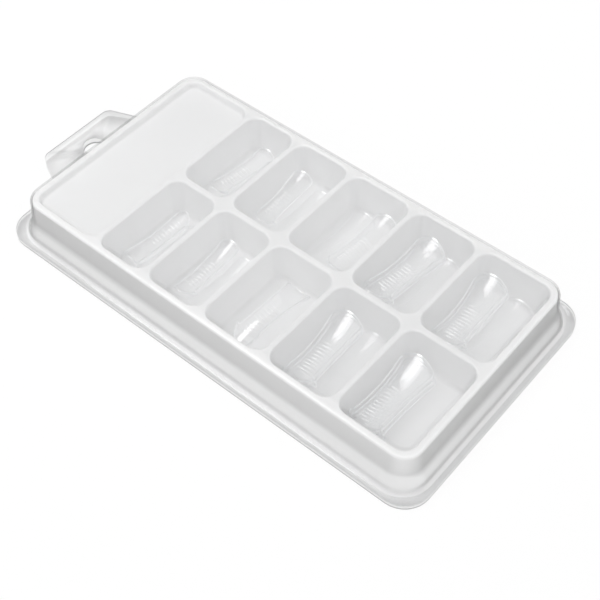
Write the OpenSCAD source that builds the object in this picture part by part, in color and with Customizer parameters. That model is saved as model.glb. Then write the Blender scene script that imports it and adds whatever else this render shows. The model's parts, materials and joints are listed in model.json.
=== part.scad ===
/* [Pockets] */
// Widths of the five pocket columns, smallest next to the label recess
pocket_w = [19.4, 21.6, 23.8, 24.2, 26.2]; // [18:0.2:32]
// Length of every pocket across the tray
pocket_l = 36.75; // [35:0.25:44]
// Depth of the pockets below the rim
pocket_d = 14; // [13:0.5:20]
// Corner radius of a pocket at its mouth
pocket_r = 4.5; // [3.5:0.25:6]
// Draft of a pocket wall from mouth to floor
pocket_draft = 0.9; // [0.3:0.1:1.5]
// Radius between a pocket wall and its floor
floor_r = 1.5; // [0.8:0.1:2]
// Rounding of the pocket mouths
mouth_r = 0.6; // [0.2:0.1:0.8]
// Rib between neighbouring columns, measured between the pocket walls
rib_w = 1.9; // [1.8:0.1:4]
// Rib between the two rows, measured between the pocket walls
mid_rib_w = 2.3; // [1.8:0.1:5]

/* [Label recess] */
// Length of the shallow recess at the hanging end
recess_l = 27.1; // [18:0.5:40]
// Depth of the recess
recess_d = 2.2; // [1:0.1:4]
// Corner radius of the recess at its mouth
recess_r = 4; // [3:0.25:6]
// Draft of the recess wall
recess_draft = 0.6; // [0.2:0.1:1]

/* [Tray] */
// Sheet thickness of the tray
sheet = 0.6; // [0.4:0.05:0.7]
// Space under the pocket floors
foot_gap = 0.8; // [0.4:0.1:3]
// Land between the rim edge and the nearest pocket wall
rim_land = 2.1; // [1.9:0.1:4]
// Corner radius of the rim in plan
rim_r = 6; // [5:0.5:9]
// Rounding of the rim's outer edge
rim_edge_r = 0.5; // [0.2:0.1:0.8]
// Draft of the outer wall between rim and shoulder
wall_draft = 0.85; // [0.4:0.05:1.5]
// Height of the shoulder in the outer wall
shoulder_h = 6.4; // [5:0.2:9]
// Step of the shoulder beyond the rim
shoulder_out = 2.6; // [1.8:0.1:4]
// Height of the skirt under the shoulder
skirt_h = 3.4; // [2.6:0.1:4.4]
// Draft of the skirt
skirt_draft = 0.3; // [0.1:0.05:0.6]
// Flange beyond the rim
flange_w = 6.4; // [5:0.2:10]
// Corner radius of the flange
flange_r = 9; // [7:0.5:12]

/* [Hanging tab] */
// Length of the tab beyond the flange
tab_l = 14.4; // [12:0.2:22]
// Width of the tab where it leaves the flange
tab_root_w = 45; // [36:0.5:60]
// Width of the tab at its tip
tab_tip_w = 31; // [24:0.5:36]
// Radius of the tab's tip corners
tab_r = 3.5; // [2:0.25:6]
// Radius of the hanging hole
hole_r = 4; // [2.5:0.25:5]
// Distance from the hole's centre to the tip
hole_in = 9.4; // [7:0.2:11]
// Upward spring of the lid's tab
tab_spring = 6; // [0:0.5:10]

/* [Lid] */
// Sheet thickness of the lid
lid_sheet = 0.4; // [0.25:0.05:0.6]
// Clearance between the lid's wall and the tray's wall
lid_gap = 0.35; // [0.2:0.05:0.6]
// Clearance between the two flanges
flange_gap = 0.9; // [0.4:0.1:1.4]
// Rounding of the lid's top edge
lid_edge_r = 0.8; // [0.5:0.1:1.2]

/* [Forms] */
// Size grade of the forms in each column
form_grade = [0.64, 0.68, 0.82, 0.96, 1]; // [0.6:0.02:1]
// Length of the largest form
form_l = 31.5; // [26:0.5:32]
// Share in which the length follows the grade
form_l_share = 0.5; // [0:0.1:0.6]
// Thickness of a form
form_t = 0.6; // [0.4:0.05:0.7]
// Radius of the arch across the largest form
arch_r = 8.6; // [7.6:0.1:10]
// Radius of the sag along a form
sag_r = 50; // [45:1:80]
// Half width of the largest form at its waist
waist = 4.7; // [4:0.1:5.2]
// Radius of the drawn in sides
side_r = 85; // [70:1:140]
// Distance of the waist from mid-length, towards the graduated end
waist_off = 2; // [0:0.25:4]
// Radius of the rounded tip on the largest form
tip_r = 5.2; // [4.6:0.1:5.6]
// Radius of the smooth end's curve
end_r = 16; // [12:0.5:30]
// Radius of the lugs where the tip starts, on the largest form
lug_r = 0.9; // [0.6:0.1:1.2]
// Spacing of the graduations
mark_pitch = 1.4; // [1:0.05:1.6]
// Distance of the first graduation from mid-length, towards the smooth end
mark_first = 2.5; // [1:0.25:4]
// Room left between the graduations and the tip
mark_end = 4; // [3.5:0.25:6]
// Width of a graduation line
mark_w = 0.4; // [0.2:0.05:0.5]
// Height of a graduation line
mark_h = 0.15; // [0.1:0.05:0.3]
// Half length of a graduation line on the largest form
mark_half = 3.4; // [2:0.1:4]

/* [Stacks] */
// Drop from a form to the one nested under it
nest_drop = 1.8; // [1.6:0.1:2.2]
// Sideways fan between nested forms
nest_side = 0.6; // [0:0.1:1]
// Slope along the upper forms
lean = 1; // [0:0.5:3]
// Clearance under the forms that lie on a pocket floor
rest_gap = 0.3; // [0.1:0.05:0.5]
// Turn of the forms that lie on a pocket floor
low_turn = 2; // [0:0.5:4]
// Slope along the forms that lie on a pocket floor
low_lean = 3; // [2:0.5:5]

/* [Hidden] */
$fn = 64;

// How each pocket's forms lie, by column and row (1 far, -1 near):
// place of the upper form from the pocket's centre and its drop under the rim, its turn and roll,
// side shift of the form on the floor, and the layers that are there
STACKS = [
    ["a1", 0, 1, [-0.6, 0.8, 8.2], [-6, 4], 3.4, ["top", "low"]],
    ["a2", 1, 1, [-4, 0.2, 8.2], [5, 4], 3, ["top", "low"]],
    ["a3", 2, 1, [4.9, 0.6, 7.8], [-3, 9], -4, ["top", "low"]],
    ["a4", 3, 1, [-4.2, -0.5, 6.1], [-6, -6], 3.8, ["top", "mid", "low"]],
    ["a5", 4, 1, [-5.4, -1.4, 5.9], [3, -8], 4, ["top", "mid", "low"]],
    ["b1", 0, -1, [-1.8, 0.5, 8.3], [176, 4], 3.2, ["top", "low"]],
    ["b2", 1, -1, [-3.4, 0.8, 8.9], [3, -6], 2.8, ["top", "low"]],
    ["b3", 2, -1, [-0.8, 1.2], [-4, 172], 0, ["back"]],
    ["b4", 3, -1, [-4.5, -1.9, 6.2], [3, -10], 3.8, ["top", "mid", "low"]],
    ["b5", 4, -1, [-5.8, -1.8, 6.3], [-0.5, -4], 0, ["top", "mid", "base"]]
];

// Layers that lie nested in one another, from the top down
NESTED = ["top", "mid", "base"];

// Small overshoot of a cut past the face that it opens
cut = 1;
// Steps in the small rounded edges
round_steps = 3;

rim_h = pocket_d + sheet + foot_gap;
floor_z = rim_h - pocket_d;
function sum(list, n, i = 0) = i < n ? list[i] + sum(list, n, i + 1) : 0;
columns = len(pocket_w);
tray_l = 2 * rim_land + recess_l + sum(pocket_w, columns) + columns * rib_w;
tray_w = 2 * rim_land + 2 * pocket_l + mid_rib_w;
rim_x = tab_l / 2;
pockets_x = rim_x - tray_l / 2 + rim_land + recess_l + rib_w;
recess_x = rim_x - tray_l / 2 + rim_land + recess_l / 2;
row_y = (pocket_l + mid_rib_w) / 2;
flange_end = rim_x - tray_l / 2 - flange_w;
hole_x = flange_end - tab_l + hole_in;
lid_z = sheet + flange_gap;
lid_h = rim_h + lid_sheet;
function column_x(i) = pockets_x + sum(pocket_w, i) + i * rib_w + pocket_w[i] / 2;

// Quarter arc about a centre, from one angle to another
function arc(centre, r, from, to) =
    [for (i = [0 : round_steps]) let (a = from + (to - from) * i / round_steps) centre + r * [cos(a), sin(a)]];

// Solid of a wall profile carried round a rectangle with rounded corners:
// each profile point is an outward distance from the rectangle and a height
module rounded_body(l, w, r, profile) {
    bottom = profile[0].y;
    top = profile[len(profile) - 1].y;
    corner = concat([[0, bottom]], [for (p = profile) [r + p.x, p.y]], [[0, top]]);
    side = [for (p = corner) [p.x + w / 2 - r, p.y]];
    right = [for (p = profile) [l / 2 + p.x, p.y]];
    left = [for (i = [len(profile) - 1 : -1 : 0]) [-right[i].x, right[i].y]];
    rotate([90, 0, 0]) linear_extrude(w - 2 * r, center = true) polygon(concat(right, left));
    for (m = [0, 1]) mirror([0, m, 0]) {
        rotate([90, 0, 90]) linear_extrude(l - 2 * r, center = true) polygon(side);
        for (n = [0, 1]) mirror([n, 0, 0])
            translate([l / 2 - r, w / 2 - r, 0]) rotate_extrude(angle = 90) polygon(corner);
    }
}

// Wall of a hollow pressed down from the rim up to a height, grown outwards by the sheet for its underside
function hollow_wall(depth, draft, grow, top) = concat(
    arc([-draft - floor_r, rim_h - depth + floor_r], floor_r + grow, -90, 0),
    [[grow, top]]
);
function hollow_mouth() = concat(
    arc([mouth_r, rim_h - mouth_r], mouth_r, 180, 90),
    [[mouth_r, rim_h + cut]]
);

module hollow_cut(l, w, r, depth, draft)
    rounded_body(l, w, r, concat(hollow_wall(depth, draft, 0, rim_h - mouth_r), hollow_mouth()));

module hollow_shell(l, w, r, depth, draft)
    rounded_body(l, w, r, hollow_wall(depth, draft, sheet, rim_h - sheet / 2));

// Outer wall from the flange over the shoulder up to the rim, moved outwards by the given distance
function outer_wall(out, base) = [
    [shoulder_out + skirt_draft + out, base],
    [shoulder_out + out, skirt_h],
    [wall_draft + out, shoulder_h]
];

module flange_plate(base, thickness)
    translate([rim_x, 0, 0])
        rounded_body(tray_l + 2 * flange_w, tray_w + 2 * flange_w, flange_r,
            [[0, base], [0, base + thickness]]);

// Plan of the hanging tab, ending where it meets the flange
module tab_plan() {
    tip_x = flange_end - tab_l;
    intersection() {
        hull() {
            for (s = [-1, 1]) translate([tip_x + tab_r, s * (tab_tip_w / 2 - tab_r)]) circle(tab_r);
            translate([flange_end, -tab_root_w / 2]) square([flange_w, tab_root_w]);
        }
        translate([tip_x, -tab_root_w / 2]) square([tab_l, tab_root_w]);
    }
}

// Prism of the tab's plan with the hanging hole through it
module tab_prism(height)
    linear_extrude(height) difference() {
        tab_plan();
        translate([hole_x, 0]) circle(hole_r);
    }

// Land of the tray's top inside the middle line of the rim, between two heights
module inner_land(low, high)
    translate([rim_x, 0, 0])
        rounded_body(tray_l, tray_w, rim_r, [[-rim_land / 2, low], [-rim_land / 2, high]]);

// Flange, outer wall, rim and label recess of the tray, open where the pockets are
module tray_frame() {
    outside = concat(outer_wall(0, 0), arc([-rim_edge_r, rim_h - rim_edge_r], rim_edge_r, 0, 90));
    inside = concat(outer_wall(-sheet, -cut), [[-sheet, rim_h - sheet]]);
    recess_w = tray_w - 2 * rim_land;
    color("whitesmoke") difference() {
        union() {
            difference() {
                union() {
                    translate([rim_x, 0, 0]) rounded_body(tray_l, tray_w, rim_r, outside);
                    flange_plate(0, sheet);
                }
                translate([rim_x, 0, 0]) rounded_body(tray_l, tray_w, rim_r, inside);
            }
            translate([recess_x, 0, 0]) hollow_shell(recess_l, recess_w, recess_r, recess_d, recess_draft);
        }
        translate([recess_x, 0, 0]) hollow_cut(recess_l, recess_w, recess_r, recess_d, recess_draft);
        intersection() {
            inner_land(rim_h - sheet - cut, rim_h + cut);
            translate([pockets_x - rib_w / 2, -tray_w / 2, 0]) cube([tray_l, tray_w, rim_h + 2 * cut]);
        }
    }
}

// Space of one pocket, out to the middle of the ribs beside it
module cell(column, row) {
    from = pockets_x + sum(pocket_w, column) + (column - 0.5) * rib_w;
    to = column < columns - 1 ? from + pocket_w[column] + rib_w : rim_x + tray_l / 2;
    translate([from, row > 0 ? 0 : -tray_w / 2, 0]) cube([to - from, tray_w / 2, rim_h]);
}

// One pocket of the tray with its share of the land around it
module pocket(column, row) {
    centre = [column_x(column), row * row_y, 0];
    color("whitesmoke") difference() {
        union() {
            intersection() {
                inner_land(rim_h - sheet, rim_h);
                cell(column, row);
            }
            translate(centre) hollow_shell(pocket_w[column], pocket_l, pocket_r, pocket_d, pocket_draft);
        }
        translate(centre) hollow_cut(pocket_w[column], pocket_l, pocket_r, pocket_d, pocket_draft);
    }
}

// Hanging tab of the tray, level with its flange
module tray_tab()
    color("whitesmoke") tab_prism(sheet);

// Flat middle of the lid inside its rounded edge, between two heights
module lid_panel(low, high) {
    edge = lid_gap + lid_sheet - lid_edge_r;
    translate([rim_x, 0, 0]) rounded_body(tray_l, tray_w, rim_r, [[edge, low], [edge, high]]);
}

// Wall of the lid from its flange over the shoulder to the rounded top edge
module lid_wall() {
    out = lid_gap + lid_sheet;
    outside = concat(outer_wall(out, lid_z),
        arc([out - lid_edge_r, lid_h - lid_edge_r], lid_edge_r, 0, 90));
    inside = concat(outer_wall(lid_gap, 0), [[lid_gap, rim_h]]);
    color("azure", 0.3) difference() {
        union() {
            translate([rim_x, 0, 0]) rounded_body(tray_l, tray_w, rim_r, outside);
            flange_plate(lid_z, lid_sheet);
        }
        translate([rim_x, 0, 0]) rounded_body(tray_l, tray_w, rim_r, inside);
        lid_panel(rim_h - cut, lid_h + cut);
    }
}

module lid_top()
    color("azure", 0.3) lid_panel(rim_h, lid_h);

// Hanging tab of the lid, sprung upwards from its flange
module lid_tab() {
    tip_x = flange_end - tab_l;
    tip_z = lid_z + tab_l * tan(tab_spring);
    color("azure", 0.3) intersection() {
        rotate([90, 0, 0]) linear_extrude(tab_root_w + cut, center = true) polygon([
            [flange_end, lid_z],
            [flange_end, lid_z + lid_sheet],
            [tip_x, tip_z + lid_sheet],
            [tip_x, tip_z]
        ]);
        tab_prism(rim_h);
    }
}

// Length of a form by its grade
function form_len(g) = form_l * (1 - form_l_share * (1 - g));
// Number of graduations that fit between the first one and the tip
function mark_count(g) = 1 + floor((mark_first + form_len(g) / 2 - mark_end) / mark_pitch);
// Half width of a form at a distance from its waist
function form_half(g, y) = g * waist + side_r / g - sqrt(pow(side_r / g, 2) - y * y);
// Depth from the crown to the lower edges beside mid-length, where a form on a pocket floor touches down
function form_depth(g) =
    g * arch_r - sqrt(pow(g * arch_r - form_t, 2) - pow(form_half(g, form_len(g) / 4), 2));
// Depth from mid-length to the lower end of a form on its back, which rests on the crown of its ends
function back_depth(g, roll) =
    sag_r - sqrt(sag_r * sag_r - pow(form_len(g) / 2, 2))
    + form_len(g) / 2 * sin(lean) + g * arch_r * (1 + cos(roll));

// Plan of a form: drawn in sides, curved smooth end, lugs and a rounded tip
module form_plan(g) {
    end_y = form_len(g) / 2;
    tip_y = g * tip_r - end_y;
    body_half = form_half(g, end_y + waist_off);
    lug_x = form_half(g, tip_y + waist_off);
    intersection() {
        difference() {
            translate([-body_half, tip_y]) square([2 * body_half, end_y - tip_y]);
            for (s = [-1, 1])
                translate([s * (g * waist + side_r / g), -waist_off]) circle(side_r / g, $fn = 360);
        }
        translate([0, end_y - end_r]) circle(end_r);
    }
    translate([0, tip_y]) circle(g * tip_r);
    for (s = [-1, 1]) translate([s * lug_x, tip_y]) circle(g * lug_r);
}

// Arch section swept along the sag, between two distances from the crown line
module saddle(g, above, below, half, angle) {
    r = g * arch_r;
    rotate_extrude(angle = angle, $fn = 256) intersection() {
        translate([sag_r + r, 0]) difference() {
            circle(r + above);
            circle(r - below);
        }
        translate([sag_r - above - cut, -half]) square([r, 2 * half]);
    }
}

// Clear nail form lying along Y, with its crown at mid-length in the origin
module form(g) {
    sweep = 2 * asin((form_len(g) / 2 + cut) / sag_r);
    mark_angle = mark_w / sag_r * 180 / PI;
    pitch_angle = mark_pitch / sag_r * 180 / PI;
    first_angle = asin(mark_first / sag_r);
    intersection() {
        translate([0, 0, sag_r]) rotate([0, 90, 0]) rotate(-sweep / 2)
            saddle(g, 0, form_t, g * arch_r, sweep);
        translate([0, 0, -sag_r]) linear_extrude(2 * sag_r) form_plan(g);
    }
    translate([0, 0, sag_r]) rotate([0, 90, 0]) for (i = [0 : mark_count(g) - 1])
        rotate(first_angle - i * pitch_angle) saddle(g, mark_h, form_t / 2, g * mark_half, mark_angle);
}

// Form of one stack, placed by its layer
module placed_form(stack, layer) {
    g = form_grade[stack[1]];
    centre = [column_x(stack[1]), stack[2] * row_y, 0];
    place = stack[3];
    pose = stack[4];
    rest_z = floor_z + rest_gap;
    nested = search([layer], NESTED)[0];
    spot =
        layer == "low" ? [stack[5], 0, rest_z + form_depth(g)] :
        layer == "back" ? [place.x, place.y, rest_z + back_depth(g, pose.y)] :
        [place.x + nested * nest_side, place.y, rim_h - place.z - nested * nest_drop];
    tilt = layer == "low" ? [-low_turn, low_lean, 0] : [pose.x, lean, pose.y];
    color("lightcyan", 0.5) translate(centre + spot)
        rotate([0, 0, tilt.x]) rotate([-tilt.y, 0, 0]) rotate([0, tilt.z, 0]) form(g);
}

tray_frame();
tray_tab();
for (stack = STACKS)
    pocket(stack[1], stack[2]);
lid_wall();
lid_top();
lid_tab();
for (stack = STACKS, layer = stack[6])
    placed_form(stack, layer);
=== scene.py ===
import json
import math

import bmesh
import bpy
from mathutils import Matrix, Vector


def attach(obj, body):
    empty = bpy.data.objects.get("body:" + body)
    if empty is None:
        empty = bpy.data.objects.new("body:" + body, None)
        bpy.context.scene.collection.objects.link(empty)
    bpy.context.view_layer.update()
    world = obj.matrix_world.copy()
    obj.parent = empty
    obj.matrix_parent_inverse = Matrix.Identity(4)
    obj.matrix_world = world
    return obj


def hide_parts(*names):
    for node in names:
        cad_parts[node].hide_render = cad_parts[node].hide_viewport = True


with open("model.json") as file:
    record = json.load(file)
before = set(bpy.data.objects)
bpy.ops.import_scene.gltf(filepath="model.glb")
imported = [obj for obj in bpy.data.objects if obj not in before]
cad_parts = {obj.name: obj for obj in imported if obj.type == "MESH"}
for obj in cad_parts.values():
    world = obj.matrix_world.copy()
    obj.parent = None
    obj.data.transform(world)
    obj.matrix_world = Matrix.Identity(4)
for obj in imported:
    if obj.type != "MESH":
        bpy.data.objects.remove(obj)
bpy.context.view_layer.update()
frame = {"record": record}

# Sizes of the pressed sheets in millimetres, as the solids have them; the shoulders are softer here
MM = 0.001
POCKET_W = (19.4, 21.6, 23.8, 24.2, 26.2)
POCKET_L = 36.75
POCKET_R = 4.5
POCKET_DRAFT = 0.9
POCKET_D = 14.0
RIB_W = 1.9
MID_RIB_W = 2.3
RECESS_L = 27.1
RECESS_R = 4.0
RECESS_D = 2.2
RECESS_DRAFT = 0.6
RECESS_FLOOR_R = 0.9
FLOOR_R = 1.5
MOUTH_R = 0.7
SHEET = 0.6
RIM_LAND = 2.1
RIM_R = 6.0
RIM_H = 15.4
WALL_DRAFT = 0.85
SHOULDER_H = 6.4
SHOULDER_OUT = 2.6
SKIRT_H = 3.4
SKIRT_DRAFT = 0.3
FLANGE_W = 6.4
FLANGE_R = 9.0
TAB_L = 14.4
TAB_ROOT_W = 45.0
TAB_TIP_W = 31.0
TAB_R = 3.5
HOLE_R = 4.0
HOLE_IN = 9.4
TAB_SPRING = math.radians(6)
LID_SHEET = 0.4
LID_GAP = 0.35
FLANGE_GAP = 0.9

# Corner radii along the outer wall, from the top down to the flange
TRAY_WALL_R = (0, 0.7, 6, 4.5, 0.7, 0)
LID_WALL_R = (0, 0.9, 6, 4.5, 0.5, 0)

# How far the flat faces at the top and foot of a wall reach in before their fill begins
TRAY_TOP_LAND = 1.2
TRAY_FOOT_LAND = 2.0
LID_TOP_LAND = 3.0
LID_FOOT_LAND = 1.6
RECESS_FLOOR_LAND = 2.4
POCKET_FLOOR_LAND = 3.0

# Material slots of a sheet; the cut edge of a face takes the slot after the face's own
BODY_SLOT = 0
TAB_SLOT = 1
FLANGE_SLOT = 3
LID_TOP_SLOT = 5
EDGE_SLOT_STEP = 1

# Sizes of a nail form in millimetres; those across it belong to the largest grade
GRADES = (0.64, 0.68, 0.82, 0.96, 1.0)
FORM_L = 31.5
FORM_L_SHARE = 0.5
FORM_T = 0.6
ARCH_R = 8.6
SAG_R = 50.0
WAIST = 4.7
SIDE_R = 85.0
WAIST_OFF = 2.0
TIP_R = 5.2
END_R = 16.0
LUG_R = 0.9
CORNER_R = 1.4
MARK_PITCH = 1.4
MARK_FIRST = 2.5
MARK_END = 4.0
MARK_W = 0.6
MARK_H = 0.15
MARK_SINK = MARK_H / 10
MARK_HALF = 3.4
NEST_DROP = 1.8
NEST_SIDE = 0.6
LEAN = 1
REST_GAP = 0.3
LOW_TURN = 2
LOW_LEAN = 3
NESTED = ("top", "mid", "base")

# How each pocket's forms lie: pocket, column, row, place of the upper form from the pocket's centre
# and its drop under the rim (a form on its back lies on the floor), its turn and roll,
# side shift of the form on the floor, and the layers that are there
STACKS = (
    ("a1", 0, 1, (-0.6, 0.8, 8.2), (-6, 4), 3.4, ("top", "low")),
    ("a2", 1, 1, (-4.0, 0.2, 8.2), (5, 4), 3.0, ("top", "low")),
    ("a3", 2, 1, (4.9, 0.6, 7.8), (-3, 9), -4.0, ("top", "low")),
    ("a4", 3, 1, (-4.2, -0.5, 6.1), (-6, -6), 3.8, ("top", "mid", "low")),
    ("a5", 4, 1, (-5.4, -1.4, 5.9), (3, -8), 4.0, ("top", "mid", "low")),
    ("b1", 0, -1, (-1.8, 0.5, 8.3), (176, 4), 3.2, ("top", "low")),
    ("b2", 1, -1, (-3.4, 0.8, 8.9), (3, -6), 2.8, ("top", "low")),
    ("b3", 2, -1, (-0.8, 1.2), (-4, 172), 0.0, ("back",)),
    ("b4", 3, -1, (-4.5, -1.9, 6.2), (3, -10), 3.8, ("top", "mid", "low")),
    ("b5", 4, -1, (-5.8, -1.8, 6.3), (-0.5, -4), 0.0, ("top", "mid", "base")),
)

COLUMNS = len(POCKET_W)
TRAY_L = 2 * RIM_LAND + RECESS_L + sum(POCKET_W) + COLUMNS * RIB_W
TRAY_W = 2 * RIM_LAND + 2 * POCKET_L + MID_RIB_W
RIM_X = TAB_L / 2
RIM_START = RIM_X - TRAY_L / 2
FLANGE_END = RIM_START - FLANGE_W
ROW_Y = (POCKET_L + MID_RIB_W) / 2
ARC_STEPS = 8
HOLE_STEPS = 6 * ARC_STEPS
SHARP_ANGLE = math.radians(40)
TINY = 1e-6


def fillet(points, radii, closed):
    """The points of a polyline with its corners rounded to the given radii."""
    out = []
    n = len(points)
    for i, r in enumerate(radii):
        p = Vector(points[i])
        if r <= 0 or (not closed and i in (0, n - 1)):
            out.append(p)
            continue
        to_last = (Vector(points[i - 1]) - p).normalized()
        to_next = (Vector(points[(i + 1) % n]) - p).normalized()
        half = math.acos(max(-1, min(1, to_last.dot(to_next)))) / 2
        centre = p + (to_last + to_next).normalized() * (r / math.sin(half))
        start = p + to_last * (r / math.tan(half)) - centre
        end = p + to_next * (r / math.tan(half)) - centre
        sweep = math.pi - 2 * half
        for k in range(ARC_STEPS + 1):
            t = k / ARC_STEPS
            spread = math.sin((1 - t) * sweep) * start + math.sin(t * sweep) * end
            out.append(centre + spread / math.sin(sweep))
    return out


def rounded_loop(bm, centre, size, r, out, z):
    """A ring of vertices round a rounded rectangle, moved outwards and to a height."""
    hx, hy = size[0] / 2 + out, size[1] / 2 + out
    corners = [(hx, hy), (-hx, hy), (-hx, -hy), (hx, -hy)]
    plan = fillet(corners, [r + out] * 4, True)
    cx, cy = centre
    return [bm.verts.new(((cx + p.x) * MM, (cy + p.y) * MM, z * MM)) for p in plan]


def skin(bm, loops):
    """Quads between rings of equal length."""
    for a, b in zip(loops, loops[1:]):
        for i in range(len(a)):
            j = (i + 1) % len(a)
            bm.faces.new((a[i], a[j], b[j], b[i])).smooth = True


def wall(bm, centre, size, r, profile, radii):
    """Rings along a wall profile of outward distances and heights, joined by quads."""
    loops = [rounded_loop(bm, centre, size, r, p.x, p.y) for p in fillet(profile, radii, False)]
    skin(bm, loops)
    return loops[0], loops[-1]


def ring_edges(bm, ring):
    """The edges round a ring of vertices, made where they are missing."""
    pairs = zip(ring, ring[1:] + ring[:1])
    return [bm.edges.get(p) or bm.edges.new(p) for p in pairs]


def fill(bm, rings, slot):
    """A flat face between an outer ring and the rings inside it, in a material slot."""
    edges = [e for ring in rings for e in ring_edges(bm, ring)]
    made = bmesh.ops.triangle_fill(bm, use_beauty=True, use_dissolve=False, edges=edges,
                                   normal=(0, 0, 1))
    for item in made["geom"]:
        if isinstance(item, bmesh.types.BMFace):
            item.smooth = False
            item.material_index = slot


def flange_and_tab(bm, base_ring, z, spring):
    """The flange from the wall's foot to its edge, and the hanging tab with its hole."""
    edge_y = TRAY_W / 2 + FLANGE_W
    far_x = RIM_X + TRAY_L / 2 + FLANGE_W
    root_y = TAB_ROOT_W / 2
    rim = [(far_x, edge_y), (FLANGE_END, edge_y), (FLANGE_END, root_y),
           (FLANGE_END, -root_y), (FLANGE_END, -edge_y), (far_x, -edge_y)]
    plan = fillet(rim, [FLANGE_R, FLANGE_R, 0, 0, FLANGE_R, FLANGE_R], True)
    ring = [bm.verts.new((p.x * MM, p.y * MM, z * MM)) for p in plan]
    fill(bm, [ring, base_ring], FLANGE_SLOT)
    root_a, root_b = [v for p, v in zip(plan, ring) if abs(abs(p.y) - root_y) < TINY]
    tip_x = FLANGE_END - TAB_L
    tip_y = TAB_TIP_W / 2
    outline = [(FLANGE_END, root_y), (tip_x, tip_y), (tip_x, -tip_y), (FLANGE_END, -root_y)]
    tab = fillet(outline, [0, TAB_R, TAB_R, 0], False)[1:-1]
    rise = math.tan(spring)

    def on_tab(x, y):
        return bm.verts.new((x * MM, y * MM, (z + (FLANGE_END - x) * rise) * MM))

    tab_ring = [root_a] + [on_tab(p.x, p.y) for p in tab] + [root_b]
    hole = []
    for k in range(HOLE_STEPS):
        a = 2 * math.pi * k / HOLE_STEPS
        hole.append(on_tab(tip_x + HOLE_IN + HOLE_R * math.cos(a), HOLE_R * math.sin(a)))
    fill(bm, [tab_ring, hole], TAB_SLOT)


def finish_sheet(bm, name, thickness):
    """A named object from a pressed surface, given its sheet thickness on the inside."""
    bmesh.ops.recalc_face_normals(bm, faces=bm.faces)
    bm.normal_update()
    up = sum(f.normal.z * f.calc_area() for f in bm.faces)
    if up < 0:
        bmesh.ops.reverse_faces(bm, faces=bm.faces)
    mesh = bpy.data.meshes.new(name)
    bm.to_mesh(mesh)
    bm.free()
    mesh.set_sharp_from_angle(angle=SHARP_ANGLE)
    piece = bpy.data.objects.new(name, mesh)
    bpy.context.scene.collection.objects.link(piece)
    solid = piece.modifiers.new("sheet", "SOLIDIFY")
    solid.thickness = thickness * MM
    solid.offset = -1
    solid.use_even_offset = True
    solid.material_offset_rim = EDGE_SLOT_STEP
    return piece


def make_tray():
    """The white sheet with its label recess, pockets, flange and tab."""
    bm = bmesh.new()
    profile = [(-TRAY_TOP_LAND, RIM_H), (0, RIM_H), (WALL_DRAFT, SHOULDER_H),
               (SHOULDER_OUT, SKIRT_H), (SHOULDER_OUT + SKIRT_DRAFT, SHEET),
               (FLANGE_W - TRAY_FOOT_LAND, SHEET)]
    top, foot = wall(bm, (RIM_X, 0), (TRAY_L, TRAY_W), RIM_R, profile, TRAY_WALL_R)
    mouths = [top]
    x = RIM_START + RIM_LAND
    recess_size = (RECESS_L, TRAY_W - 2 * RIM_LAND)
    recess_z = RIM_H - RECESS_D
    recess = [(MOUTH_R, RIM_H), (0, RIM_H), (-RECESS_DRAFT, recess_z), (-RECESS_FLOOR_LAND, recess_z)]
    mouth, floor = wall(bm, (x + RECESS_L / 2, 0), recess_size, RECESS_R, recess,
                        (0, MOUTH_R, RECESS_FLOOR_R, 0))
    mouths.append(mouth)
    fill(bm, [floor], BODY_SLOT)
    x += RECESS_L + RIB_W
    pocket_z = RIM_H - POCKET_D
    pocket = [(MOUTH_R, RIM_H), (0, RIM_H), (-POCKET_DRAFT, pocket_z), (-POCKET_FLOOR_LAND, pocket_z)]
    for w in POCKET_W:
        for side in (-1, 1):
            mouth, floor = wall(bm, (x + w / 2, side * ROW_Y), (w, POCKET_L), POCKET_R, pocket,
                                (0, MOUTH_R, FLOOR_R, 0))
            mouths.append(mouth)
            fill(bm, [floor], BODY_SLOT)
        x += w + RIB_W
    fill(bm, mouths, BODY_SLOT)
    flange_and_tab(bm, foot, SHEET, 0)
    return finish_sheet(bm, "tray_sheet", SHEET)


def make_lid():
    """The clear sheet over the tray, with its own flange and sprung tab."""
    bm = bmesh.new()
    out = LID_GAP + LID_SHEET
    top_z = RIM_H + LID_SHEET
    flange_z = SHEET + FLANGE_GAP + LID_SHEET
    profile = [(-LID_TOP_LAND, top_z), (out, top_z), (WALL_DRAFT + out, SHOULDER_H),
               (SHOULDER_OUT + out, SKIRT_H), (SHOULDER_OUT + SKIRT_DRAFT + out, flange_z),
               (FLANGE_W - LID_FOOT_LAND, flange_z)]
    top, foot = wall(bm, (RIM_X, 0), (TRAY_L, TRAY_W), RIM_R, profile, LID_WALL_R)
    fill(bm, [top], LID_TOP_SLOT)
    flange_and_tab(bm, foot, flange_z, TAB_SPRING)
    return finish_sheet(bm, "lid_sheet", LID_SHEET)


def form_len(g):
    """Length of a form by its grade."""
    return FORM_L * (1 - FORM_L_SHARE * (1 - g))


def form_half(g, y):
    """Half width of a form at a distance from its waist."""
    side = SIDE_R / g
    return g * WAIST + side - math.sqrt(side * side - y * y)


CORNER_TRIES = 20


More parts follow.
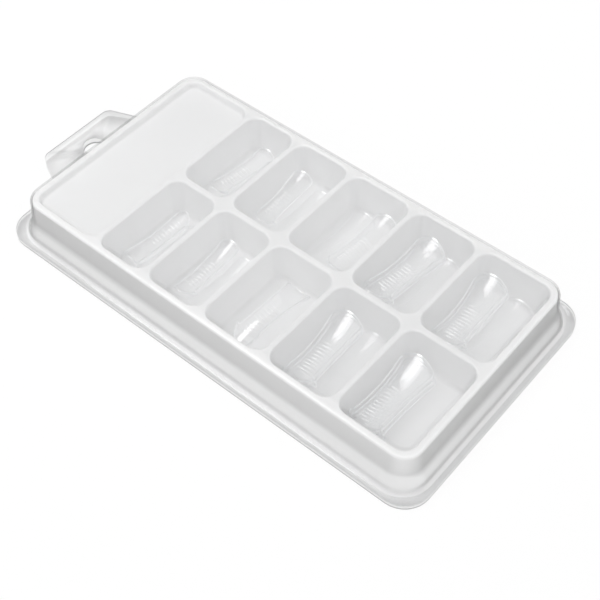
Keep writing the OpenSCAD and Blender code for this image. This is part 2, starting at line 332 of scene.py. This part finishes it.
class FormPlan:
    """Plan of one grade of form, by a share across it, -1 to 1, and one along it from tip to end."""

    def __init__(self, g):
        self.g = g
        self.tip = g * TIP_R
        self.lug = g * LUG_R
        self.top_y = form_len(g) / 2
        self.tip_y = self.tip - self.top_y
        self.low_y = self.tip_y - self.lug
        self.low_w = math.sqrt(self.tip ** 2 - self.lug ** 2)
        self.lug_x = form_half(g, self.tip_y + WAIST_OFF)
        self.end_y = self.top_y - END_R
        self.corner_y = self.top_y
        for _ in range(CORNER_TRIES):
            self.corner_w = form_half(g, self.corner_y + WAIST_OFF)
            self.corner_y = self.end_y + math.sqrt(END_R ** 2 - self.corner_w ** 2)

    def half(self, y):
        """Half width at a place along the form, with its tip, lugs and rounded corners."""
        if y < self.tip_y:
            w = math.sqrt(self.tip ** 2 - (y - self.tip_y) ** 2)
        else:
            w = form_half(self.g, y + WAIST_OFF)
        off = abs(y - self.tip_y)
        if off < self.lug:
            w = max(w, self.lug_x + math.sqrt(self.lug ** 2 - off ** 2))
        into = y - self.corner_y + CORNER_R
        if into > 0:
            w -= CORNER_R - math.sqrt(max(0, CORNER_R ** 2 - into ** 2))
        return w

    def point(self, s, t):
        """Place in plan of a share across and a share along."""
        y = self.low_y + (self.corner_y - self.low_y) * t
        x = s * self.half(y)
        tip_bulge = self.tip_y - math.sqrt(self.tip ** 2 - (s * self.low_w) ** 2) - self.low_y
        across = s * (self.corner_w - CORNER_R)
        end_bulge = self.end_y + math.sqrt(END_R ** 2 - across ** 2) - self.corner_y
        return x, y + (1 - t) * tip_bulge + t * end_bulge


def on_saddle(g, x, y, lift):
    """Point of the saddle above a place in plan, lifted off its upper face."""
    r = g * ARCH_R + lift
    across = SAG_R + g * ARCH_R - math.sqrt(r * r - x * x)
    return Vector((x, y, SAG_R - math.sqrt(across * across - y * y)))


FORM_ROWS = 56
FORM_COLUMNS = 28
LUG_ROWS = 12
EDGE_STEPS = 4
EDGE_MATERIAL = 1
MARK_MATERIAL = 2


def form_mesh(name, g):
    """Saddle shell with rounded edges and raised graduations, each with a material of its own."""
    plan = FormPlan(g)
    bm = bmesh.new()
    lug_share = 2 * plan.lug / (plan.corner_y - plan.low_y)
    shares = [lug_share * i / LUG_ROWS for i in range(LUG_ROWS)]
    shares += [lug_share + (1 - lug_share) * math.sin(i / FORM_ROWS * math.pi / 2)
               for i in range(FORM_ROWS + 1)]
    grids = []
    for lift in (0, -FORM_T):
        grid = []
        for t in shares:
            row = []
            for i in range(FORM_COLUMNS + 1):
                s = math.sin((i / FORM_COLUMNS - 0.5) * math.pi)
                x, y = plan.point(s, t)
                row.append(bm.verts.new(on_saddle(g, x, y, lift) * MM))
            grid.append(row)
        grids.append(grid)
    for grid, turn in zip(grids, (1, -1)):
        for a, b in zip(grid, grid[1:]):
            for i in range(FORM_COLUMNS):
                quad = (a[i], a[i + 1], b[i + 1], b[i])
                bm.faces.new(quad[::turn]).smooth = True
    rings = []
    for grid in grids:
        ring = grid[0][:-1] + [row[-1] for row in grid[:-1]]
        ring += grid[-1][:0:-1] + [row[0] for row in grid[:0:-1]]
        rings.append(ring)
    outer, inner = rings
    count = len(outer)
    beads = [outer]
    for k in range(1, EDGE_STEPS):
        angle = math.pi * k / EDGE_STEPS
        bead = []
        for i in range(count):
            along = outer[(i + 1) % count].co - outer[i - 1].co
            down = inner[i].co - outer[i].co
            out = along.cross(down).normalized() * (down.length / 2 * math.sin(angle))
            bead.append(bm.verts.new(outer[i].co + down * (1 - math.cos(angle)) / 2 + out))
        beads.append(bead)
    beads.append(inner)
    for a, b in zip(beads, beads[1:]):
        for i in range(count):
            j = (i + 1) % count
            edge = bm.faces.new((a[j], a[i], b[i], b[j]))
            edge.material_index = EDGE_MATERIAL
            edge.smooth = True
    marks = 1 + math.floor((MARK_FIRST + plan.top_y - MARK_END) / MARK_PITCH)
    for k in range(marks):
        add_mark(bm, g, MARK_FIRST - k * MARK_PITCH)
    mesh = bpy.data.meshes.new(name)
    bm.to_mesh(mesh)
    bm.free()
    mesh.set_sharp_from_angle(angle=SHARP_ANGLE)
    return mesh


MARK_ROWS = 6
MARK_COLUMNS = 16


def add_mark(bm, g, y):
    """One raised rounded line across the crown."""
    rows = []
    for k in range(MARK_ROWS + 1):
        share = k / MARK_ROWS
        lift = MARK_H * math.sin(share * math.pi) - MARK_SINK
        row = []
        for i in range(MARK_COLUMNS + 1):
            x = g * MARK_HALF * (2 * i / MARK_COLUMNS - 1)
            row.append(bm.verts.new(on_saddle(g, x, y + MARK_W * share, lift) * MM))
        rows.append(row)
    for a, b in zip(rows, rows[1:]):
        for i in range(MARK_COLUMNS):
            face = bm.faces.new((a[i], a[i + 1], b[i + 1], b[i]))
            face.material_index = MARK_MATERIAL
            face.smooth = True
    for i in (0, MARK_COLUMNS):
        bm.faces.new([row[i] for row in rows]).material_index = MARK_MATERIAL


def form_place(stack, layer):
    """Where one form of a stack lies."""
    _, column, row, place, (turn, roll), shift, _ = stack
    g = GRADES[column]
    r = g * ARCH_R
    x = RIM_START + RIM_LAND + RECESS_L + (column + 1) * RIB_W
    x = x + sum(POCKET_W[:column]) + POCKET_W[column] / 2
    y = row * ROW_Y
    rest = RIM_H - POCKET_D + REST_GAP
    lean = LEAN
    if layer == "low":
        depth = r - math.sqrt((r - FORM_T) ** 2 - form_half(g, form_len(g) / 4) ** 2)
        spot = Vector((x + shift, y, rest + depth))
        turn, lean, roll = -LOW_TURN, LOW_LEAN, 0
    elif layer == "back":
        half = form_len(g) / 2
        depth = SAG_R - math.sqrt(SAG_R ** 2 - half ** 2) + half * math.sin(math.radians(LEAN))
        depth += r * (1 + math.cos(math.radians(roll)))
        spot = Vector((x + place[0], y + place[1], rest + depth))
    else:
        n = NESTED.index(layer)
        z = RIM_H - place[2] - n * NEST_DROP
        spot = Vector((x + place[0] + n * NEST_SIDE, y + place[1], z))
    tilt = Matrix.Identity(4)
    for angle, axis in ((turn, "Z"), (-lean, "X"), (roll, "Y")):
        tilt = tilt @ Matrix.Rotation(math.radians(angle), 4, axis)
    return Matrix.Translation(spot * MM) @ tilt


def make_forms(upper, lower, dull):
    """Every form of every stack; the smallest grade and the forms on the floors are duller."""
    for stack in STACKS:
        pocket, column, layers = stack[0], stack[1], stack[-1]
        for layer in layers:
            node = "form_%s_%s" % (pocket, layer)
            mesh = form_mesh("clear_" + node, GRADES[column])
            mesh.transform(form_place(stack, layer))
            materials = dull if column == 0 else lower if layer == "low" else upper
            for material in materials:
                mesh.materials.append(material)
            form = bpy.data.objects.new("clear_" + node, mesh)
            bpy.context.scene.collection.objects.link(form)
            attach(form, node)
            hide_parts(node)


# Grain of a plastic surface: its scale per metre, bump strength, and least and most roughness.
# Each range of roughness lies wholly above or below 0.274, where the denoiser's guide changes.
SHEET_GRAIN = (120, 0.05, 0.29, 0.38)
CUT_GRAIN = (400, 0.1, 0.35, 0.55)
LID_GRAIN = (60, 0.03)
TAB_GRAIN = (60, 0.01)
FORM_GRAIN = (300, 0.05)
EDGE_GRAIN = (500, 0.05)
GRAIN_DETAIL = 3
GRAIN_DEPTH = 0.2 * MM

# Milky plastic: how far light passes in it, and its bluish share
LIGHT_REACH = 0.001
PLASTIC_IOR = 1.5
BLUISH = 0.003

# Clear plastic: colour of its mirrored light, slant where its painted shade starts to grey what is
# seen through it, and how late it mirrors
CLEAR_COLOUR = (0.97, 0.975, 0.98, 1)
PAINTED_SHADE_START = 0.3
MIRROR_POWER = 5


def new_material(name):
    """A material with its nodes, links, shader and output."""
    mat = bpy.data.materials.new(name)
    mat.use_nodes = True
    nodes = mat.node_tree.nodes
    return mat, nodes, mat.node_tree.links, nodes["Principled BSDF"], nodes["Material Output"]


def add_grain(nodes, links, shader, grain):
    """Faint waviness and patchy gloss of a pressed or moulded plastic surface."""
    scale, strength, low, high = grain
    place = nodes.new("ShaderNodeTexCoord")
    noise = nodes.new("ShaderNodeTexNoise")
    noise.inputs["Scale"].default_value = scale
    noise.inputs["Detail"].default_value = GRAIN_DETAIL
    links.new(place.outputs["Object"], noise.inputs["Vector"])
    gloss = nodes.new("ShaderNodeMapRange")
    gloss.inputs["To Min"].default_value = low
    gloss.inputs["To Max"].default_value = high
    links.new(noise.outputs["Fac"], gloss.inputs["Value"])
    links.new(gloss.outputs["Result"], shader.inputs["Roughness"])
    bump = nodes.new("ShaderNodeBump")
    bump.inputs["Strength"].default_value = strength
    bump.inputs["Distance"].default_value = GRAIN_DEPTH
    links.new(noise.outputs["Fac"], bump.inputs["Height"])
    links.new(bump.outputs["Normal"], shader.inputs["Normal"])


def milky_plastic(name, shade):
    """White pressed sheet, thin enough to let a little light pass."""
    mat, nodes, links, shader, _ = new_material(name)
    shader.inputs["Base Color"].default_value = (shade, shade, shade + BLUISH, 1)
    shader.inputs["Subsurface Weight"].default_value = 1
    shader.inputs["Subsurface Radius"].default_value = (1, 1, 1)
    shader.inputs["Subsurface Scale"].default_value = LIGHT_REACH
    shader.inputs["IOR"].default_value = PLASTIC_IOR
    add_grain(nodes, links, shader, SHEET_GRAIN)
    return mat


def clear_plastic(name, haze, mirror, clear, painted_slant_shade, grain):
    """Thin clear plastic: from face on to grazing sight it mirrors from haze to mirror, and what is
    seen through it is greyed from clear face on to painted_slant_shade at a slant, as painted shade."""
    mat, nodes, links, shader, output = new_material(name)
    shader.inputs["Base Color"].default_value = CLEAR_COLOUR
    shader.inputs["Metallic"].default_value = 1
    add_grain(nodes, links, shader, grain)
    slant = nodes.new("ShaderNodeLayerWeight")
    slant.inputs["Blend"].default_value = 0.5
    through = nodes.new("ShaderNodeBsdfTransparent")
    # Painted shade: greys what is seen through the sheet more the more slanted it is
    if painted_slant_shade < clear:
        painted_shade_ramp = nodes.new("ShaderNodeMapRange")
        painted_shade_ramp.inputs["From Min"].default_value = PAINTED_SHADE_START
        painted_shade_ramp.inputs["To Min"].default_value = clear
        painted_shade_ramp.inputs["To Max"].default_value = painted_slant_shade
        links.new(slant.outputs["Facing"], painted_shade_ramp.inputs["Value"])
        links.new(painted_shade_ramp.outputs["Result"], through.inputs["Color"])
    rise = nodes.new("ShaderNodeMath")
    rise.operation = "POWER"
    rise.inputs[1].default_value = MIRROR_POWER
    links.new(slant.outputs["Facing"], rise.inputs[0])
    body = nodes.new("ShaderNodeMapRange")
    body.inputs["To Min"].default_value = haze
    body.inputs["To Max"].default_value = mirror
    links.new(rise.outputs["Value"], body.inputs["Value"])
    mix = nodes.new("ShaderNodeMixShader")
    links.new(body.outputs["Result"], mix.inputs["Fac"])
    links.new(through.outputs["BSDF"], mix.inputs[1])
    links.new(shader.outputs["BSDF"], mix.inputs[2])
    links.new(mix.outputs["Shader"], output.inputs["Surface"])
    return mat


def bright_edge(name, cover, low, high):
    """Rounded edge or raised line of clear plastic, which mirrors the light above it all round."""
    mat, nodes, links, shader, output = new_material(name)
    shader.inputs["Base Color"].default_value = CLEAR_COLOUR
    shader.inputs["Metallic"].default_value = 1
    add_grain(nodes, links, shader, EDGE_GRAIN + (low, high))
    through = nodes.new("ShaderNodeBsdfTransparent")
    mix = nodes.new("ShaderNodeMixShader")
    mix.inputs["Fac"].default_value = cover
    links.new(through.outputs["BSDF"], mix.inputs[1])
    links.new(shader.outputs["BSDF"], mix.inputs[2])
    links.new(mix.outputs["Shader"], output.inputs["Surface"])
    return mat


def shaded_cut_edge(name, shade):
    """Trimmed edge of a sheet, painted darker grey than its faces: painted shade that draws dark
    outlines along the sheet's edges.
    """
    mat, nodes, links, shader, _ = new_material(name)
    shader.inputs["Base Color"].default_value = (shade, shade, shade, 1)
    add_grain(nodes, links, shader, CUT_GRAIN)
    return mat


def seen_directly(nodes, links):
    """One for rays from the camera, also by way of a gloss or through clear plastic, else nought."""
    path = nodes.new("ShaderNodeLightPath")
    total = path.outputs["Is Camera Ray"]
    for kind in ("Is Glossy Ray", "Is Transmission Ray"):
        most = nodes.new("ShaderNodeMath")
        most.operation = "MAXIMUM"
        links.new(total, most.inputs[0])
        links.new(path.outputs[kind], most.inputs[1])
        total = most.outputs["Value"]
    return total


# The floor: half its side in metres, its own shade, and the share and strength of its white glow
FLOOR_HALF = 3
FLOOR_SHADE = 0.8
FLOOR_ROUGHNESS = 0.9
GLOW_SHARE = 0.88
GLOW_STRENGTH = 1.02


def make_floor():
    """Pale floor that looks white and keeps a share of the object's shadow."""
    bm = bmesh.new()
    bmesh.ops.create_grid(bm, x_segments=1, y_segments=1, size=FLOOR_HALF)
    mesh = bpy.data.meshes.new("floor")
    bm.to_mesh(mesh)
    bm.free()
    floor = bpy.data.objects.new("floor", mesh)
    bpy.context.scene.collection.objects.link(floor)
    mat, nodes, links, shader, output = new_material("floor_white")
    shader.inputs["Base Color"].default_value = (FLOOR_SHADE, FLOOR_SHADE, FLOOR_SHADE, 1)
    shader.inputs["Roughness"].default_value = FLOOR_ROUGHNESS
    shader.inputs["Specular IOR Level"].default_value = 0
    share = nodes.new("ShaderNodeMath")
    share.operation = "MULTIPLY"
    share.inputs[1].default_value = GLOW_SHARE
    links.new(seen_directly(nodes, links), share.inputs[0])
    glow = nodes.new("ShaderNodeEmission")
    glow.inputs["Strength"].default_value = GLOW_STRENGTH
    mix = nodes.new("ShaderNodeMixShader")
    links.new(share.outputs["Value"], mix.inputs["Fac"])
    links.new(shader.outputs["BSDF"], mix.inputs[1])
    links.new(glow.outputs["Emission"], mix.inputs[2])
    links.new(mix.outputs["Shader"], output.inputs["Surface"])
    mesh.materials.append(mat)


# The soft sky: direction of its brightest part, and its brightness there and away from it
SKY_FRONT = (0.62, -0.54, 0.57)
SKY_FRONT_LEVEL = 1.36
SKY_BACK_LEVEL = 0.5

# The lamp: its place and size in metres, and its power
SOFTBOX_PLACE = (-0.36, 0.02, 0.8)
SOFTBOX_SIZE = (0.44, 0.54)
SOFTBOX_POWER = 2.1


def make_world():
    """White to the camera, and a soft sky for everything else."""
    world = bpy.data.worlds.new("studio")
    bpy.context.scene.world = world
    world.use_nodes = True
    nodes, links = world.node_tree.nodes, world.node_tree.links
    sky = nodes["Background"]
    sky.inputs["Color"].default_value = (1, 1, 1, 1)
    place = nodes.new("ShaderNodeTexCoord")
    front = nodes.new("ShaderNodeVectorMath")
    front.operation = "DOT_PRODUCT"
    links.new(place.outputs["Generated"], front.inputs[0])
    front.inputs[1].default_value = SKY_FRONT
    ramp = nodes.new("ShaderNodeMapRange")
    ramp.inputs["To Min"].default_value = SKY_BACK_LEVEL
    ramp.inputs["To Max"].default_value = SKY_FRONT_LEVEL
    links.new(front.outputs["Value"], ramp.inputs["Value"])
    links.new(ramp.outputs["Result"], sky.inputs["Strength"])
    white = nodes.new("ShaderNodeBackground")
    white.inputs["Color"].default_value = (1, 1, 1, 1)
    mix = nodes.new("ShaderNodeMixShader")
    links.new(seen_directly(nodes, links), mix.inputs["Fac"])
    links.new(sky.outputs["Background"], mix.inputs[1])
    links.new(white.outputs["Background"], mix.inputs[2])
    links.new(mix.outputs["Shader"], nodes["World Output"].inputs["Surface"])


def add_softbox(name, place, size, power):
    """Oval soft lamp shining straight down."""
    lamp = bpy.data.lights.new(name, "AREA")
    lamp.shape = "ELLIPSE"
    lamp.size, lamp.size_y = size
    lamp.energy = power
    box = bpy.data.objects.new(name, lamp)
    box.location = place
    bpy.context.scene.collection.objects.link(box)


# The photograph's viewing angle: direction and distance from a target on the rim plane, and the lens
VIEW_AZIMUTH = math.radians(40.328)
VIEW_ELEVATION = math.radians(51.539)
VIEW_ROLL = math.radians(-0.491)
VIEW_DISTANCE = 364.04
VIEW_TARGET = (25.23, -14.8, RIM_H)
SENSOR = 36.0
LENS = 71.855
CLIP_START = 0.01


def make_camera():
    """The camera at the photograph's viewing angle."""
    data = bpy.data.cameras.new("camera")
    data.sensor_width = SENSOR
    data.lens = LENS
    data.clip_start = CLIP_START
    camera = bpy.data.objects.new("camera", data)
    flat = math.cos(VIEW_ELEVATION)
    back = Vector((math.sin(VIEW_AZIMUTH) * flat, -math.cos(VIEW_AZIMUTH) * flat,
                   math.sin(VIEW_ELEVATION)))
    turn = back.to_track_quat("Z", "Y").to_matrix().to_4x4() @ Matrix.Rotation(VIEW_ROLL, 4, "Z")
    place = (Vector(VIEW_TARGET) + back * VIEW_DISTANCE) * MM
    camera.matrix_world = Matrix.Translation(place) @ turn
    bpy.context.scene.collection.objects.link(camera)
    bpy.context.scene.camera = camera


# Materials follow the order of the slots: body, tab, tab's edge, flange, flange's edge, lid top
tray = make_tray()
sheet = milky_plastic("milky_sheet", 0.95)
# The white sheet's cut edges are painted dark grey, 0.45: painted shade for the dark outlines along
# its flange, tab and hole
edge = shaded_cut_edge("tray_edge_painted_shade", 0.45)
# The flange is the same white sheet painted darker, 0.8 against 0.95: painted shade on the flange
for material in (sheet, sheet, edge, milky_plastic("milky_flange_painted_shade", 0.8), edge):
    tray.data.materials.append(material)
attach(tray, "tray")
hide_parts(*frame["record"]["behaviour"]["bodies"]["tray"])

lid = make_lid()
# Each lid part is greyed at a slant by its own painted shade, darkening the walls and edges seen at a
# slant
clear_top = clear_plastic("clear_lid", haze=0.1, mirror=0.55, clear=1, painted_slant_shade=0.66,
                          grain=LID_GRAIN + (0.04, 0.1))
clear_wall = clear_plastic("clear_wall", haze=0.02, mirror=0.5, clear=1, painted_slant_shade=0.64,
                           grain=LID_GRAIN + (0.08, 0.16))
clear_tab = clear_plastic("clear_tab", haze=0.03, mirror=0.6, clear=1, painted_slant_shade=0.8,
                          grain=TAB_GRAIN + (0.1, 0.2))
# The lid's flange is also greyed face on, 0.96: painted shade on the flange
clear_flange = clear_plastic("clear_flange", haze=0.06, mirror=0.6, clear=0.96, painted_slant_shade=0.8,
                             grain=LID_GRAIN + (0.04, 0.1))
# The lid's cut edges are painted grey, 0.7: painted shade for the dark lines along its edges
edge = shaded_cut_edge("lid_edge_painted_shade", 0.7)
for material in (clear_wall, clear_tab, edge, clear_flange, edge, clear_top):
    lid.data.materials.append(material)
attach(lid, "lid")
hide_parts(*frame["record"]["behaviour"]["bodies"]["lid"])

# Each form has a material for its faces, its rounded edge and its graduations
upper_form = (clear_plastic("clear_form", haze=0.07, mirror=0.5, clear=1, painted_slant_shade=1,
                            grain=FORM_GRAIN + (0.04, 0.1)),
              bright_edge("form_edge", cover=0.6, low=0.1, high=0.25),
              bright_edge("form_mark", cover=0.25, low=0.08, high=0.16))
lower_form = (clear_plastic("clear_low_form", haze=0.03, mirror=0.4, clear=1, painted_slant_shade=1,
                            grain=FORM_GRAIN + (0.08, 0.16)),
              bright_edge("low_form_edge", cover=0.3, low=0.08, high=0.2),
              bright_edge("low_form_mark", cover=0.05, low=0.08, high=0.16))
dull_form = (clear_plastic("dull_form", haze=0.02, mirror=0.4, clear=1, painted_slant_shade=1,
                           grain=FORM_GRAIN + (0.2, 0.26)),) + upper_form[1:]
make_forms(upper_form, lower_form, dull_form)

make_floor()
make_world()
add_softbox("softbox", SOFTBOX_PLACE, SOFTBOX_SIZE, SOFTBOX_POWER)
make_camera()
bpy.context.scene.view_settings.view_transform = "Standard"
# Sight goes through the lid and up to three forms, two faces each, and the pockets pass light on
cycles = bpy.context.scene.cycles
cycles.transparent_max_bounces = 32
cycles.glossy_bounces = 12
cycles.diffuse_bounces = 12
cycles.max_bounces = 24
